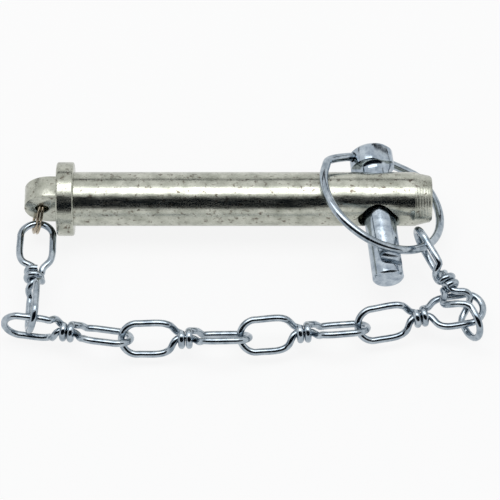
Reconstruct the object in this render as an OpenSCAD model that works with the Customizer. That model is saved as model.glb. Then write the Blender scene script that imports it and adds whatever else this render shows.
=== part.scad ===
// Hitch pin with a linch pin, a spring ring and a knotted chain, lying on its side.
// The origin is on the shank's axis at the collar's seating face. +X runs along the shank to its
// tip, +Y is the side of the linch pin's head, +Z is up. Lengths are in millimetres.

/* [Shank] */
// Diameter of the shank where it seats
seat_d = 19; // [16:0.1:22]
// Length of the shank from the collar to the end
shank_l = 125.5; // [118:0.5:160]
// Length of the seating stretch, from the collar
seat_l = 80; // [50:1:82]
// How much thinner the shank is past the seat
nose_relief = 0.36; // [0.34:0.01:0.5]
// Length of the turned taper at the end
taper_l = 6; // [3:0.5:8]
// Diameter at the end of the taper
taper_end_d = 16.4; // [13:0.1:18]
// Chamfer on the end
end_chamfer = 0.7; // [0.3:0.1:1.2]
// Distance from the collar to the cross hole
hole_x = 106.4; // [102:0.2:108]
// Diameter of the cross hole
hole_d = 13.8; // [13.6:0.1:14]
// Diameter of the countersink where it leaves the shank
sink_d = 16.4; // [15:0.1:17]

/* [Collar and tab] */
// Diameter of the collar
collar_d = 26; // [24:0.5:30]
// Thickness of the collar
collar_t = 6.1; // [5:0.1:9]
// Round on the collar's edges
collar_round = 0.8; // [0.3:0.1:1.5]
// How far the tab stands out of the collar
tab_l = 11.4; // [10.5:0.1:13]
// Width of the tab
tab_w = 18; // [16:0.5:20]
// Thickness of the tab
tab_t = 7.7; // [6:0.1:9]
// Turn of the tab about the shank
tab_turn = 0; // [-10:1:10]
// Diameter of the hole in the tab
tab_hole_d = 4.8; // [4.6:0.1:5]
// Distance from the collar to the tab's hole
tab_hole_x = 5.2; // [4.6:0.1:5.6]

/* [Split ring] */
// Outer diameter of the split ring
split_od = 16.2; // [16:0.1:16.6]
// Diameter of one strand of the split ring
split_wire = 1; // [0.8:0.05:1.1]

/* [Linch pin] */
// Diameter of the linch pin
linch_d = 11; // [10:0.1:11.4]
// Distance from the shank's axis to the linch pin's tip
linch_tip = 32.4; // [30:0.2:36]
// Chamfer on the tip
linch_chamfer = 0.6; // [0.2:0.1:1.2]
// Diameter of the linch pin's head
head_d = 15.4; // [14.4:0.1:17]
// Height of the head's cylinder
head_t = 6.6; // [6:0.1:9]
// Height of the rounded shoulder under the head
shoulder_h = 3; // [2:0.1:4]
// Distance from the tip to the middle of the notch
notch_from_tip = 5.6; // [5:0.1:7]
// Width of the notch
notch_w = 5; // [4:0.1:5.6]
// Depth of the notch
notch_depth = 2; // [1:0.1:2.6]
// Lean of the linch pin in its hole, in the shank's plane
linch_lean = 6; // [4:0.5:6.5]
// Turn of the linch pin about its own axis
linch_turn = 28; // [26:1:34]

/* [Spring ring] */
// Wire of the spring ring
ring_wire = 3; // [2.6:0.05:3.2]
// Radius of the spring ring, to the middle of the wire
ring_r = 23; // [22.6:0.1:25]
// Distance from the ring's centre to its ends' axis
ring_chord = 18; // [17:0.1:19]

/* [Chain] */
// Wire of the chain
link_wire = 2.45; // [2:0.05:2.5]
// Outer length of a link
link_l = 46.7; // [45:0.1:48]
// Outer width of a link's loop
link_w = 14; // [13:0.1:15]

/* [Hidden] */
$fn = 96;

zinc = "#b9bbb2";
bright_zinc = "#b4bcc4";
nickel = "#a89c8c";

// Running gaps between pieces that touch on the real object
gap = 0.3;

// Vectors and rotations
function unit(v) = v / norm(v);
function turn_x(v, a) = [v[0], v[1] * cos(a) - v[2] * sin(a), v[1] * sin(a) + v[2] * cos(a)];
function turn_y(v, a) = [v[0] * cos(a) + v[2] * sin(a), v[1], -v[0] * sin(a) + v[2] * cos(a)];
function turn_z(v, a) = [v[0] * cos(a) - v[1] * sin(a), v[0] * sin(a) + v[1] * cos(a), v[2]];
function ease(t) = t <= 0 ? 0 : t >= 1 ? 1 : t * t * (3 - 2 * t);

// A smooth curve through the points p, with n steps from each to the next
function spline_at(a, b, c, d, t) =
    0.5 * (2 * b + (c - a) * t + (2 * a - 5 * b + 4 * c - d) * t * t
           + (3 * b - a - 3 * c + d) * t * t * t);
function spline(p, n) = [
    for (i = [0 : len(p) - 2], s = [0 : n - 1])
        spline_at(i == 0 ? 2 * p[0] - p[1] : p[i - 1], p[i], p[i + 1],
                  i == len(p) - 2 ? 2 * p[i + 1] - p[i] : p[i + 2], s / n),
    p[len(p) - 1]];

// Direction of the curve at each point, and a side vector carried along it without twisting
function along(p, i) = unit(p[min(i + 1, len(p) - 1)] - p[max(i - 1, 0)]);
function off_axis(v, t) = unit(v - (v * t) * t);
function sides(p, i, v) = i == len(p) ? [] : let (s = off_axis(v, along(p, i)))
    concat([s], sides(p, i + 1, s));

// A wire of diameter d along the points p
module wire(p, d, faces) {
    first = abs(along(p, 0)[2]) < 0.9 ? [0, 0, 1] : [1, 0, 0];
    side = sides(p, 0, first);
    ring = [for (i = [0 : len(p) - 1], k = [0 : faces - 1])
        let (t = along(p, i), a = 360 * k / faces)
            p[i] + d / 2 * (cos(a) * side[i] + sin(a) * cross(t, side[i]))];
    skin = [for (i = [0 : len(p) - 2], k = [0 : faces - 1])
        let (a = i * faces + k, b = i * faces + (k + 1) % faces)
            each [[a, a + faces, b], [b, a + faces, b + faces]]];
    start = [for (k = [0 : faces - 1]) k];
    finish = [for (k = [faces - 1 : -1 : 0]) (len(p) - 1) * faces + k];
    polyhedron(ring, concat(skin, [start, finish]), convexity = 8);
}

// Pin: shank, collar and half-round tab, forged and turned as one piece
seat_r = seat_d / 2;
nose_r = seat_r - nose_relief / 2;
shank_profile = [
    [0, -collar_t / 2], [seat_r, -collar_t / 2], [seat_r, seat_l], [nose_r, seat_l],
    [nose_r, shank_l - taper_l], [taper_end_d / 2, shank_l - end_chamfer],
    [taper_end_d / 2 - end_chamfer, shank_l], [0, shank_l]];

module shank() {
    rotate([0, 90, 0]) rotate_extrude() polygon(shank_profile);
}

module collar() {
    c = collar_round;
    r = collar_d / 2;
    bend = [for (a = [0 : 15 : 90]) [r - c + c * sin(a), -c + c * cos(a)]];
    bend_low = [for (a = [90 : 15 : 180]) [r - c + c * sin(a), c - collar_t + c * cos(a)]];
    rotate([0, 90, 0]) rotate_extrude()
        polygon(concat([[0, 0]], bend, bend_low, [[0, -collar_t]]));
}

module tab() {
    tab_r = tab_w / 2;
    flat_l = tab_l - tab_r;
    translate([-collar_t, 0, 0]) rotate([tab_turn, 0, 0]) difference() {
        rotate([90, 0, 0]) translate([0, 0, -tab_t / 2]) linear_extrude(tab_t) union() {
            translate([-flat_l, 0]) circle(r = tab_r);
            translate([-flat_l, -tab_r]) square([flat_l + collar_t / 2, tab_w]);
        }
        translate([-tab_hole_x, 0, 0]) rotate([90, 0, 0])
            cylinder(d = tab_hole_d, h = tab_t + 2, center = true);
    }
}

module cross_hole() {
    translate([hole_x, 0, 0]) rotate([90, 0, 0]) {
        cylinder(d = hole_d, h = 2 * seat_d, center = true);
        for (end = [0, 1]) mirror([0, 0, end])
            translate([0, 0, seat_r - (sink_d - hole_d) / 2])
                cylinder(d1 = hole_d, d2 = hole_d + 2 * seat_r, h = seat_r);
    }
}

module pin() {
    color(zinc) difference() {
        union() {
            shank();
            collar();
            tab();
        }
        cross_hole();
    }
}

// Linch pin. Its own frame has the axis along +Z toward the head and the ring's ends along X.
linch_drop = (hole_d - linch_d) / 2 - 3 * gap;
linch_at = [hole_x, 0, -linch_drop];
head_z = seat_r + gap + shoulder_h;
pivot_z = head_z + head_t / 2;
end_hole_d = ring_wire + 2 * gap;
notch_z = -linch_tip + notch_from_tip;
notch_r = (notch_w * notch_w / 4 + notch_depth * notch_depth) / (2 * notch_depth);

module in_linch_frame() {
    translate(linch_at) rotate([0, 0, linch_lean]) rotate([-90, 0, 0])
        rotate([0, 0, linch_turn]) children();
}
function from_linch(v) = linch_at + turn_z(turn_x(turn_z(v, linch_turn), -90), linch_lean);

module linch_pin() {
    r = linch_d / 2;
    hr = head_d / 2;
    shoulder = [for (a = [0 : 15 : 90])
        [r + (hr - r) * (1 - cos(a)), head_z - shoulder_h + shoulder_h * sin(a)]];
    color(bright_zinc) in_linch_frame() difference() {
        rotate_extrude() polygon(concat(
            [[0, -linch_tip], [r - linch_chamfer, -linch_tip], [r, linch_chamfer - linch_tip]],
            shoulder,
            [[hr, head_z + head_t - 1], [hr - 1, head_z + head_t], [0, head_z + head_t]]));
        // Hole for the ring's two ends
        translate([0, 0, pivot_z]) rotate([0, 90, 0])
            cylinder(d = end_hole_d, h = 2 * head_d, center = true);
        // Flat sawn on the side that the ring leaves by
        translate([0, -head_d - hr + 1, head_z]) translate([-head_d, 0, -1])
            cube([2 * head_d, head_d, 2 * head_t]);
        // Notch that the closed ring snaps against
        translate([0, notch_depth - r - notch_r, notch_z]) rotate([0, 90, 0])
            cylinder(r = notch_r, h = 2 * linch_d, center = true);
    }
}

// Spring ring: an open hoop whose ends turn in to the head's hole
ring_lean = asin((linch_d / 2 + ring_wire / 2 + gap) / (ring_chord + ring_r));
// The ends reach into the head to this far from its middle, straight from straight_from outwards
end_reach = 3;
straight_from = 5.5;
elbow_x = head_d / 2 + 1;
// The hoop starts this many degrees past the ends' axis, which leaves room for the elbows
elbow_turn = 12;
ring_open = acos(ring_chord / ring_r);
function ring_local(v) = let (w = turn_x(v, -ring_lean)) [w[0], w[1], w[2] + pivot_z];
ring_points = let (
    a0 = ring_open + elbow_turn,
    hoop = [for (i = [0 : 24]) let (a = 90 + a0 + i * (360 - 2 * a0) / 24)
        [ring_r * cos(a), 0, ring_r * sin(a) - ring_chord]],
    left = [[-end_reach, 0, 0], [-straight_from, 0, 0], [-elbow_x, 0, 0]],
    right = [[elbow_x, 0, 0], [straight_from, 0, 0], [end_reach, 0, 0]])
    concat(left, hoop, right);
ring_path = [for (v = spline(ring_points, 3)) from_linch(ring_local(v))];

module linch_ring() {
    color(bright_zinc) wire(ring_path, ring_wire, 10);
}

// Split ring: two turns of wire through the tab's hole, hanging toward the chain's side. Its
// strands lie split_pitch apart, and it hangs from the hole's edge by split_sag.
split_r = (split_od - split_wire) / 2;
strand_gap = 0.12;
split_pitch = split_wire + strand_gap;
split_hang = -14;
split_tilt = 10;
split_sag = (split_r - sqrt(split_r * split_r - tab_t * tab_t / 4)) / 2;
split_at = [-collar_t - tab_hole_x, 0, 0];
function split_local(v) = split_at + turn_x(turn_y(v, -split_hang), -split_tilt);
function split_point(a, side) = split_local(
    [side, split_r * sin(a), split_sag - split_r - split_r * cos(a)]);
split_path = [for (i = [0 : 60]) split_point(100 + i * 700 / 60, 2 * split_pitch * (i / 60 - 0.5))];

module split_ring() {
    color(nickel) wire(split_path, split_wire, 8);
}

// Chain link: one wire. A common strand runs straight through the knot, and each end comes
// back from its loop and coils round that strand. Along X, with the loops in the XY plane, and
// with near parallel sides: the factors are shares of the loop's radius and of the wire.
loop_r = (link_w - link_wire) / 2;
crown_x = (link_l - link_wire) / 2;
coil_r = link_wire + 0.1;
coil_x = link_wire / 2 + 0.08;
half_link = let (cx = crown_x - loop_r) concat(
    [[coil_x + link_wire / 2 + 0.4, -0.3, 0], [coil_x + 1.8 * link_wire, -loop_r * 0.74, 0],
     [coil_x + 3.2 * link_wire, -loop_r * 0.98, 0]],
    [for (a = [-100 : 25 : 100]) [cx + loop_r * cos(a), loop_r * sin(a), 0]],
    [[coil_x + 3.2 * link_wire, loop_r, 0], [coil_x + 1.9 * link_wire, loop_r * 0.88, 0],
     [coil_x + 0.8 * link_wire, coil_r * 1.14, 0.25]],
    [for (a = [65 : -45 : -205]) [coil_x, coil_r * sin(a), coil_r * cos(a)]]);
function turned_half(p) = [for (i = [len(p) - 1 : -1 : 0]) [-p[i][0], p[i][1], -p[i][2]]];
link_points = concat(turned_half(half_link), half_link);

// Each loop is twisted out of the knot's plane by its own roll
knot_half = 2 * link_wire;
function rolled(v, roll_a, roll_b) = turn_x(v, v[0] < 0
    ? roll_a * ease((-v[0] - knot_half) / (crown_x / 2 - knot_half / 2))
    : roll_b * ease((v[0] - knot_half) / (crown_x / 2 - knot_half / 2)));

// How the chain lies. Each row: where the link's first crown sits from the last link's far
// crown, its heading, its climb, and the rolls of its near and far loops. crown_step is the
// distance between two crowns that pull on each other.
crown_step = link_wire + 2 * gap;
lay = [
    [[0, -0.3, 0], -91, 6, 0, 75],
    [[-9.6, 4.2, -5.0], -8, 0, 84, -40],
    [[-crown_step - 0.15, 0, 0], 1, 0, 50, -50],
    [[-crown_step - 0.2, 0, 0], 5, 0, 40, -45],
    [[-crown_step - 0.25, 0, 0], 11, 0, 45, 0],
    [[-1.9, -12.84, 2.06], 117.9, 6.3, 102, 86]];
span = link_l - link_wire;
link_start = split_point(-90, 0) + [0, (split_wire + link_wire) / 2 + gap, 0];
function heading(k) = turn_z(turn_y([1, 0, 0], -lay[k][2]), lay[k][1]);
function crown_a(k) = k == 0 ? link_start : crown_b(k - 1) + lay[k][0];
function crown_b(k) = crown_a(k) + span * heading(k);
function link_path(k) = [for (v = spline(link_points, 2))
    (crown_a(k) + crown_b(k)) / 2
        + turn_z(turn_y(rolled(v, lay[k][3], lay[k][4]), -lay[k][2]), lay[k][1])];

module link(k) {
    color(bright_zinc) wire(link_path(k), link_wire, 8);
}

pin();
split_ring();
link(0);  // link_1
link(1);  // link_2
link(2);  // link_3
link(3);  // link_4
link(4);  // link_5
link(5);  // link_6
linch_pin();
linch_ring();
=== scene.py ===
import math

import bpy
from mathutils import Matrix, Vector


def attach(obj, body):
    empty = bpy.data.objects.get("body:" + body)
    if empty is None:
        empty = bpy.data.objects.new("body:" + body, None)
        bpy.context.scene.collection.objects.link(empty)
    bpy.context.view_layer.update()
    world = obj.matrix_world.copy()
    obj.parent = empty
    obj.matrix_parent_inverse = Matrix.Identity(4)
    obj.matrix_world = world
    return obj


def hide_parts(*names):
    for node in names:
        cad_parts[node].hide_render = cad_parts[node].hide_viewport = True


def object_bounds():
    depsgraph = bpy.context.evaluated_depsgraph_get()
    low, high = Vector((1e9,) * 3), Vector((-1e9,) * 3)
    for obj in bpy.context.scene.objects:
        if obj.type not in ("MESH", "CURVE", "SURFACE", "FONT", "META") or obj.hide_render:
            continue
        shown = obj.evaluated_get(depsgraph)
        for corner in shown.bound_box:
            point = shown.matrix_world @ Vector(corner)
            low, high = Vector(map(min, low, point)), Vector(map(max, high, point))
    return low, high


# Hitch pin with a linch pin, a spring ring and a knotted chain. Lengths in this script are given in
# millimetres and multiplied by MM where Blender takes them in metres.
MM = 0.001
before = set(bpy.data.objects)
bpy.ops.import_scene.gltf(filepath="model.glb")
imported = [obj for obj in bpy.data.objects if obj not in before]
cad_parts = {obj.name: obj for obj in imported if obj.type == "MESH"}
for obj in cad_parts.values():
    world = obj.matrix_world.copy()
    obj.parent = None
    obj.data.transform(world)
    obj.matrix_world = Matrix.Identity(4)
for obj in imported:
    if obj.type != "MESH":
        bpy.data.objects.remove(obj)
cad_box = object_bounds()

# Places in the row frame that the finishes need, in millimetres
SEAT_END_X = 80
SEAT_R = 9.5
NOSE_R = 9.32
TAPER_STARTS_X = 119.5
HEAD_STARTS_Y = 13.5
FLOOR_Z = cad_box[0].z



def linear(code):
    """An sRGB hex colour as linear red, green, blue and alpha."""
    parts = [int(code[i:i + 2], 16) / 255 for i in (1, 3, 5)]
    return [c / 12.92 if c <= 0.04045 else ((c + 0.055) / 1.055) ** 2.4 for c in parts] + [1.0]


def per_mm(size):
    """The scale of a pattern whose features are that many millimetres wide."""
    return 1 / (size * MM)


def add(tree, kind, settings=None, inputs=None, links=None):
    """Adds a node of that kind with its settings, its input values, and links as {input: (node, output)}."""
    node = tree.nodes.new(kind)
    for name, value in (settings or {}).items():
        setattr(node, name, value)
    for name, value in (inputs or {}).items():
        node.inputs[name].default_value = value
    for name, (source, output) in (links or {}).items():
        tree.links.new(source.outputs[output], node.inputs[name])
    return node


def new_material(name):
    """An empty material with its node tree and its Object coordinates; finish_material adds its output."""
    material = bpy.data.materials.new(name)
    material.use_nodes = True
    material.node_tree.nodes.clear()
    tree = material.node_tree
    return material, tree, add(tree, "ShaderNodeTexCoord")


def finish_material(tree, shader):
    """Links the shader to the material's output."""
    add(tree, "ShaderNodeOutputMaterial", links={"Surface": (shader, 0)})


def satin_zinc():
    """Zinc plating on forged and turned steel, tumbled with other pins: a grey, faintly green satin
    metal with fine scratches along it, a soft mottle and brown and dark specks. Its end is turned."""
    material, tree, coords = new_material("satin zinc plating on turned steel")
    mottle = add(tree, "ShaderNodeTexNoise",
                 inputs={"Scale": per_mm(5), "Detail": 6.0, "Roughness": 0.6},
                 links={"Vector": (coords, "Object")})
    drawn_out = add(tree, "ShaderNodeMapping", inputs={"Scale": (0.12, 1, 1)},
                    links={"Vector": (coords, "Object")})
    scratches = add(tree, "ShaderNodeTexNoise",
                    inputs={"Scale": per_mm(0.8), "Detail": 4.0, "Roughness": 0.7},
                    links={"Vector": (drawn_out, 0)})
    specks = add(tree, "ShaderNodeTexNoise",
                 inputs={"Scale": per_mm(1.5), "Detail": 3.0, "Roughness": 0.65},
                 links={"Vector": (coords, "Object")})
    dark = add(tree, "ShaderNodeMapRange",
               inputs={"From Min": 0.57, "From Max": 0.68, "To Max": 0.9},
               links={"Value": (specks, "Fac")})
    tone = add(tree, "ShaderNodeValToRGB", links={"Fac": (mottle, "Fac")})
    tone.color_ramp.elements[0].position = 0.33
    tone.color_ramp.elements[0].color = linear("#989b90")
    tone.color_ramp.elements[1].position = 0.68
    tone.color_ramp.elements[1].color = linear("#c6c8bd")
    colour = add(tree, "ShaderNodeMix", settings={"data_type": "RGBA"},
                 links={"Factor": (dark, 0), "A": (tone, 0)})
    colour.inputs["B"].default_value = linear("#5b5146")
    colour.inputs[7].default_value = linear("#5b5146")
    tree.links.new(tone.outputs[0], colour.inputs[6])
    rough = add(tree, "ShaderNodeMapRange",
                inputs={"From Min": 0.3, "From Max": 0.7, "To Min": 0.16, "To Max": 0.32},
                links={"Value": (scratches, "Fac")})
    # Turning grooves on the taper, 0.55 mm apart
    place = add(tree, "ShaderNodeSeparateXYZ", links={"Vector": (coords, "Object")})
    phase = add(tree, "ShaderNodeMath", settings={"operation": "MULTIPLY"},
                links={0: (place, "X")})
    phase.inputs[1].default_value = 2 * math.pi * per_mm(0.55)
    groove = add(tree, "ShaderNodeMath", settings={"operation": "SINE"}, links={0: (phase, 0)})
    on_taper = add(tree, "ShaderNodeMapRange",
                   inputs={"From Min": (TAPER_STARTS_X - 0.2) * MM, "From Max": TAPER_STARTS_X * MM,
                           "To Max": 4.0},
                   links={"Value": (place, "X")})
    cut = add(tree, "ShaderNodeMath", settings={"operation": "MULTIPLY"},
              links={0: (groove, 0), 1: (on_taper, 0)})
    height = add(tree, "ShaderNodeMath", settings={"operation": "ADD"},
                 links={0: (scratches, "Fac"), 1: (cut, 0)})
    relief = add(tree, "ShaderNodeBump", inputs={"Strength": 0.4, "Distance": 0.035 * MM},
                 links={"Height": (height, 0)})
    shader = add(tree, "ShaderNodeBsdfPrincipled", inputs={"Metallic": 1.0},
                 links={"Base Color": (colour, 2), "Roughness": (rough, 0), "Normal": (relief, 0)})
    finish_material(tree, shader)
    return material


def bright_zinc(name, dim, clear, wear_mm):
    """Bright blue-white zinc plating: nearly a mirror, with a slight unevenness from the bath."""
    material, tree, coords = new_material(name)
    cloud = add(tree, "ShaderNodeTexNoise",
                inputs={"Scale": per_mm(wear_mm), "Detail": 5.0, "Roughness": 0.6},
                links={"Vector": (coords, "Object")})
    tone = add(tree, "ShaderNodeValToRGB", links={"Fac": (cloud, "Fac")})
    tone.color_ramp.elements[0].position = 0.32
    tone.color_ramp.elements[0].color = linear(dim)
    tone.color_ramp.elements[1].position = 0.65
    tone.color_ramp.elements[1].color = linear(clear)
    rough = add(tree, "ShaderNodeMapRange",
                inputs={"From Min": 0.3, "From Max": 0.7, "To Min": 0.08, "To Max": 0.2},
                links={"Value": (cloud, "Fac")})
    # Saw marks across the head of the linch pin, 0.7 mm apart
    place = add(tree, "ShaderNodeSeparateXYZ", links={"Vector": (coords, "Object")})
    across = add(tree, "ShaderNodeMath", settings={"operation": "ADD"},
                 links={0: (place, "X"), 1: (place, "Z")})
    phase = add(tree, "ShaderNodeMath", settings={"operation": "MULTIPLY"}, links={0: (across, 0)})
    phase.inputs[1].default_value = 2 * math.pi * per_mm(1.0)
    mark = add(tree, "ShaderNodeMath", settings={"operation": "SINE"}, links={0: (phase, 0)})
    on_head = add(tree, "ShaderNodeMapRange",
                  inputs={"From Min": HEAD_STARTS_Y * MM, "From Max": (HEAD_STARTS_Y + 0.5) * MM,
                          "To Max": 0.3},
                  links={"Value": (place, "Y")})
    sawn = add(tree, "ShaderNodeMath", settings={"operation": "MULTIPLY"},
               links={0: (mark, 0), 1: (on_head, 0)})
    height = add(tree, "ShaderNodeMath", settings={"operation": "ADD"},
                 links={0: (cloud, "Fac"), 1: (sawn, 0)})
    relief = add(tree, "ShaderNodeBump", inputs={"Strength": 0.25, "Distance": 0.05 * MM},
                 links={"Height": (height, 0)})
    shader = add(tree, "ShaderNodeBsdfPrincipled", inputs={"Metallic": 1.0},
                 links={"Base Color": (tone, 0), "Roughness": (rough, 0), "Normal": (relief, 0)})
    finish_material(tree, shader)
    return material


def only(obj):
    """Selects this object alone and makes it active."""
    bpy.ops.object.select_all(action="DESELECT")
    obj.select_set(True)
    bpy.context.view_layer.objects.active = obj


def merged_copy(node, name):
    """A copy of a CAD node with its loose triangles merged, open in edit mode with all selected."""
    piece = bpy.data.objects.new(name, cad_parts[node].data.copy())
    bpy.context.scene.collection.objects.link(piece)
    piece.data.materials.clear()
    only(piece)
    if piece.data.has_custom_normals:
        bpy.ops.mesh.customdata_custom_splitnormals_clear()
    bpy.ops.object.mode_set(mode="EDIT")
    bpy.ops.mesh.select_all(action="SELECT")
    bpy.ops.mesh.remove_doubles(threshold=0.002 * MM)
    return piece


def apply_modifier(piece, kind, **settings):
    """Adds a modifier with its settings and applies it."""
    bpy.ops.object.modifier_add(type=kind)
    modifier = piece.modifiers[-1]
    for key, value in settings.items():
        setattr(modifier, key, value)
    bpy.ops.object.modifier_apply(modifier=modifier.name)


def round_wire(node, name, grow):
    """A round wire on the CAD wire's own path. Subdividing draws a wire of few faces inwards, so it
    is first grown by that many millimetres."""
    piece = merged_copy(node, name)
    bpy.ops.mesh.tris_convert_to_quads(face_threshold=math.radians(60), shape_threshold=math.radians(60))
    bpy.ops.transform.shrink_fatten(value=grow * MM)
    bpy.ops.object.mode_set(mode="OBJECT")
    apply_modifier(piece, "SUBSURF", levels=2, render_levels=2)
    bpy.ops.object.shade_smooth()
    return piece


def take_up_relief(piece):
    """The part's source makes the shank past its seat a little thinner, so that the seat is a wall of
    its own. The real shank is one cylinder, so that stretch is brought out to the seat's radius."""
    bpy.ops.mesh.select_all(action="DESELECT")
    bpy.ops.object.mode_set(mode="OBJECT")
    for point in piece.data.vertices:
        x, y, z = point.co
        on_nose = abs(math.hypot(y, z) - NOSE_R * MM) < 0.02 * MM
        point.select = on_nose and (SEAT_END_X - 0.1) * MM < x < (TAPER_STARTS_X + 0.1) * MM
    bpy.ops.object.mode_set(mode="EDIT")
    out = SEAT_R / NOSE_R
    bpy.ops.transform.resize(value=(1, out, out), center_override=(0, 0, 0))
    bpy.ops.mesh.select_all(action="SELECT")
    bpy.ops.mesh.remove_doubles(threshold=0.002 * MM)


def turned_piece(node, name, edge):
    """The solid CAD piece with its sharp edges rounded by that many millimetres."""
    piece = merged_copy(node, name)
    if node == "pin":
        take_up_relief(piece)
    bpy.ops.mesh.dissolve_limited(angle_limit=math.radians(0.3))
    bpy.ops.object.mode_set(mode="OBJECT")
    apply_modifier(piece, "BEVEL", width=edge * MM, segments=3, limit_method="ANGLE",
                   angle_limit=math.radians(32))
    bpy.ops.object.shade_smooth_by_angle(angle=math.radians(32))
    return piece


def belongs(piece, node, material):
    """The piece stands for that CAD node, moves with its body and has that finish."""
    piece.data.materials.clear()
    piece.data.materials.append(material)
    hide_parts(node)
    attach(piece, node)


satin = satin_zinc()
bright = bright_zinc("bright zinc plating on turned steel", "#8592a0", "#b9c4cd", 2.5)
bright_wire = bright_zinc("bright zinc plating on steel wire", "#7b8893", "#b4bec6", 3)
nickel_wire = bright_zinc("nickel plating on spring wire", "#8c8170", "#b9ae9c", 2)

belongs(turned_piece("pin", "turned_pin", 0.3), "pin", satin)
belongs(turned_piece("linch_pin", "turned_linch_pin", 0.25), "linch_pin", bright)
GROW_RING = 0.1
GROW_SPLIT = 0.045

# The chain's links, from the same sizes as the part's source, in millimetres
LINK_WIRE = 2.45
LINK_LENGTH = 46.7
LINK_WIDTH = 14.0
LOOP_R = (LINK_WIDTH - LINK_WIRE) / 2
CROWN_X = (LINK_LENGTH - LINK_WIRE) / 2
COIL_R = LINK_WIRE + 0.1
COIL_X = LINK_WIRE / 2 + 0.08
CROWN_STEP = LINK_WIRE + 0.6
FIRST_CROWN = (-13.012, -6.652, -5.442)
# A loop is turned out of the knot's plane by its roll, between these distances from the knot's middle.
# The last link's near loop turns slowly, because link 5 lies in it close to the knot.
QUICK_TURN = (2.2, 6.4)
SLOW_TURN = (4.9, 13.5)
# Each row: the first crown's place from the last link's far crown, the heading, the climb, and the
# roll and turn of the near and far loops
LAY = (
    ((0, -0.3, 0), -91, 6, (0, QUICK_TURN), (75, QUICK_TURN)),
    ((-9.6, 4.2, -5.0), -8, 0, (84, QUICK_TURN), (-40, QUICK_TURN)),
    ((-CROWN_STEP - 0.15, 0, 0), 1, 0, (50, QUICK_TURN), (-50, QUICK_TURN)),
    ((-CROWN_STEP - 0.2, 0, 0), 5, 0, (40, QUICK_TURN), (-45, QUICK_TURN)),
    ((-CROWN_STEP - 0.25, 0, 0), 11, 0, (45, QUICK_TURN), (0, QUICK_TURN)),
    ((-1.9, -12.84, 2.06), 117.9, 6.3, (102, SLOW_TURN), (86, QUICK_TURN)))


def turned(v, a, i, j):
    """The point v turned by a degrees from axis i towards axis j."""
    c, s = math.cos(math.radians(a)), math.sin(math.radians(a))
    w = list(v)
    w[i], w[j] = v[i] * c - v[j] * s, v[i] * s + v[j] * c
    return w


def smooth_line(points, steps):
    """A smooth line through the points, with that many steps from each to the next."""
    ends = [[2 * p - q for p, q in zip(points[i], points[j])] for i, j in ((0, 1), (-1, -2))]
    p = [ends[0], *points, ends[1]]
    line = []
    for i in range(1, len(p) - 2):
        for step in range(steps):
            t = step / steps
            line.append([
                0.5 * (2 * b + (c - a) * t + (2 * a - 5 * b + 4 * c - d) * t * t
                       + (3 * b - a - 3 * c + d) * t ** 3)
                for a, b, c, d in zip(*p[i - 1:i + 3])])
    return line + [points[-1]]


def half_link():
    """Half of the link's wire, from the middle of the knot round its loop to its own coil."""
    centre = CROWN_X - LOOP_R
    out = [[COIL_X + LINK_WIRE / 2 + 0.4, -0.3, 0], [COIL_X + 1.8 * LINK_WIRE, -LOOP_R * 0.74, 0],
           [COIL_X + 3.2 * LINK_WIRE, -LOOP_R * 0.98, 0]]
    loop = [[centre + LOOP_R * math.cos(math.radians(a)), LOOP_R * math.sin(math.radians(a)), 0]
            for a in range(-100, 101, 25)]
    back = [[COIL_X + 3.2 * LINK_WIRE, LOOP_R, 0], [COIL_X + 1.9 * LINK_WIRE, LOOP_R * 0.88, 0],
            [COIL_X + 0.8 * LINK_WIRE, COIL_R * 1.14, 0.25]]
    coil = [[COIL_X, COIL_R * math.sin(math.radians(a)), COIL_R * math.cos(math.radians(a))]
            for a in range(65, -206, -45)]
    return out + loop + back + coil


def link_lines():
    """The line of each link's wire as the chain lies."""
    half = half_link()
    whole = smooth_line([[-x, y, -z] for x, y, z in reversed(half)] + half, 5)
    lines = []
    far_crown = FIRST_CROWN
    for offset, heading, climb, near_loop, far_loop in LAY:
        def placed(v):
            return turned(turned(v, climb, 0, 2), heading, 0, 1)
        near_crown = [c + o for c, o in zip(far_crown, offset)]
        far_crown = [c + d for c, d in zip(near_crown, placed([2 * CROWN_X, 0, 0]))]
        middle = [(a + b) / 2 for a, b in zip(near_crown, far_crown)]
        line = []
        for v in whole:
            roll, (start, end) = near_loop if v[0] < 0 else far_loop
            t = min(max((abs(v[0]) - start) / (end - start), 0), 1)
            at_roll = turned(v, roll * t * t * (3 - 2 * t), 1, 2)
            line.append([m + p for m, p in zip(middle, placed(at_roll))])
        lines.append(line)
    return lines


def bent_wire(name, line, diameter):
    """A round wire along the line, given in millimetres, made a mesh."""
    curve = bpy.data.curves.new(name, "CURVE")
    curve.dimensions = "3D"
    curve.bevel_depth = diameter / 2 * MM
    curve.bevel_resolution = 5
    curve.use_fill_caps = True
    run = curve.splines.new("POLY")
    run.points.add(len(line) - 1)
    for point, place in zip(run.points, line):
        point.co = [c * MM for c in place] + [1]
    piece = bpy.data.objects.new(name, curve)
    bpy.context.scene.collection.objects.link(piece)
    only(piece)
    bpy.ops.object.convert(target="MESH")
    bpy.ops.object.shade_smooth_by_angle(angle=math.radians(50))
    return piece


for number, line in enumerate(link_lines(), 1):
    link = bent_wire(f"bent_link_{number}", line, LINK_WIRE)
    belongs(link, f"link_{number}", bright_wire)
belongs(round_wire("linch_ring", "bent_linch_ring", GROW_RING), "linch_ring", bright_wire)
belongs(round_wire("split_ring", "coiled_split_ring", GROW_SPLIT), "split_ring", nickel_wire)


def stage_plane(name, centre, size, turn, material):
    """A flat sheet of the studio, not part of the object."""
    bpy.ops.mesh.primitive_plane_add(size=1, location=centre, rotation=turn)
    sheet = bpy.context.active_object
    sheet.name = name
    sheet.scale = (size[0], size[1], 1)
    sheet.data.materials.append(material)
    return sheet


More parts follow.
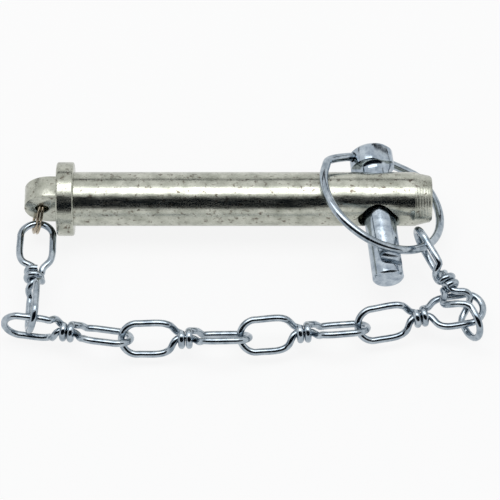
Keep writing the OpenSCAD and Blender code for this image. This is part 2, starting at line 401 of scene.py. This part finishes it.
def studio_floor_material():
    """White paper. What the camera and the metal see is partly its own white, and the rest keeps
    the object's shadow."""
    material, tree, _ = new_material("white studio paper")
    paper = add(tree, "ShaderNodeBsdfDiffuse", inputs={"Color": linear("#f2f2f2")})
    white = add(tree, "ShaderNodeEmission", inputs={"Color": (1, 1, 1, 1), "Strength": 1.0})
    path = add(tree, "ShaderNodeLightPath")
    seen = add(tree, "ShaderNodeMath", settings={"operation": "MAXIMUM"},
               links={0: (path, "Is Camera Ray"), 1: (path, "Is Glossy Ray")})
    seen_through = add(tree, "ShaderNodeMath", settings={"operation": "MAXIMUM"},
                       links={0: (seen, 0), 1: (path, "Is Transmission Ray")})
    share = add(tree, "ShaderNodeMath", settings={"operation": "MULTIPLY"}, links={0: (seen_through, 0)})
    share.inputs[1].default_value = 0.86
    shader = add(tree, "ShaderNodeMixShader", links={0: (share, 0), 1: (paper, 0), 2: (white, 0)})
    finish_material(tree, shader)
    return material


def studio_card_material():
    """Dark card that only the metal reflects: it draws the dark lines along the wires."""
    material, tree, _ = new_material("dark studio card")
    shader = add(tree, "ShaderNodeEmission", inputs={"Color": linear("#0e141b"), "Strength": 1.0})
    finish_material(tree, shader)
    return material


def studio_world():
    """A pale room that lights softly and is white where the camera and the metal see it."""
    world = bpy.data.worlds.new("pale room")
    bpy.context.scene.world = world
    world.use_nodes = True
    tree = world.node_tree
    tree.nodes.clear()
    path = add(tree, "ShaderNodeLightPath")
    seen = add(tree, "ShaderNodeMath", settings={"operation": "MAXIMUM"},
               links={0: (path, "Is Camera Ray"), 1: (path, "Is Glossy Ray")})
    seen_through = add(tree, "ShaderNodeMath", settings={"operation": "MAXIMUM"},
                       links={0: (seen, 0), 1: (path, "Is Transmission Ray")})
    room = add(tree, "ShaderNodeBackground", inputs={"Color": linear("#f4f6f8"), "Strength": 0.55})
    white = add(tree, "ShaderNodeBackground", inputs={"Color": (1, 1, 1, 1), "Strength": 1.0})
    mix = add(tree, "ShaderNodeMixShader", links={0: (seen_through, 0), 1: (room, 0), 2: (white, 0)})
    add(tree, "ShaderNodeOutputWorld", links={"Surface": (mix, 0)})


def reflected_card(name, from_vertical, distance, width, material):
    """A long dark card above the object, so many degrees from straight up towards -Y."""
    a = math.radians(from_vertical)
    centre = (0.06, -distance * math.sin(a) - 0.01, distance * math.cos(a))
    card = stage_plane(name, centre, (2.4, width), (a, 0, 0), material)
    card.visible_camera = False
    card.visible_diffuse = False
    card.visible_shadow = False
    return card


floor = stage_plane("studio floor", (0.06, 0, FLOOR_Z), (6, 6), (0, 0, 0), studio_floor_material())
card_material = studio_card_material()
reflected_card("front card", 45, 0.7, 0.74, card_material)
reflected_card("back card", -62, 0.7, 0.10, card_material)
studio_world()

bpy.ops.object.light_add(type="AREA", location=(0.02, 0.08, 0.75), rotation=(math.radians(-6), 0, 0))
top_lamp = bpy.context.active_object
top_lamp.data.shape = "RECTANGLE"
top_lamp.data.size = 0.9
top_lamp.data.size_y = 0.34
top_lamp.data.energy = 2.6

CAMERA_ELEVATION = 60
CAMERA_DISTANCE = 1.2
VIEW_WIDTH = 174.3 * MM
AIM = (61.7 * MM, -20.7 * MM, 0.0)
tilt = math.radians(CAMERA_ELEVATION)
bpy.ops.object.camera_add(
    location=(AIM[0], AIM[1] - CAMERA_DISTANCE * math.cos(tilt), CAMERA_DISTANCE * math.sin(tilt)),
    rotation=(math.pi / 2 - tilt, 0, 0))
camera = bpy.context.active_object
camera.data.sensor_width = 36
camera.data.lens = camera.data.sensor_width * CAMERA_DISTANCE / VIEW_WIDTH
camera.data.clip_start = 0.05
bpy.context.scene.camera = camera
bpy.context.scene.view_settings.view_transform = "Standard"
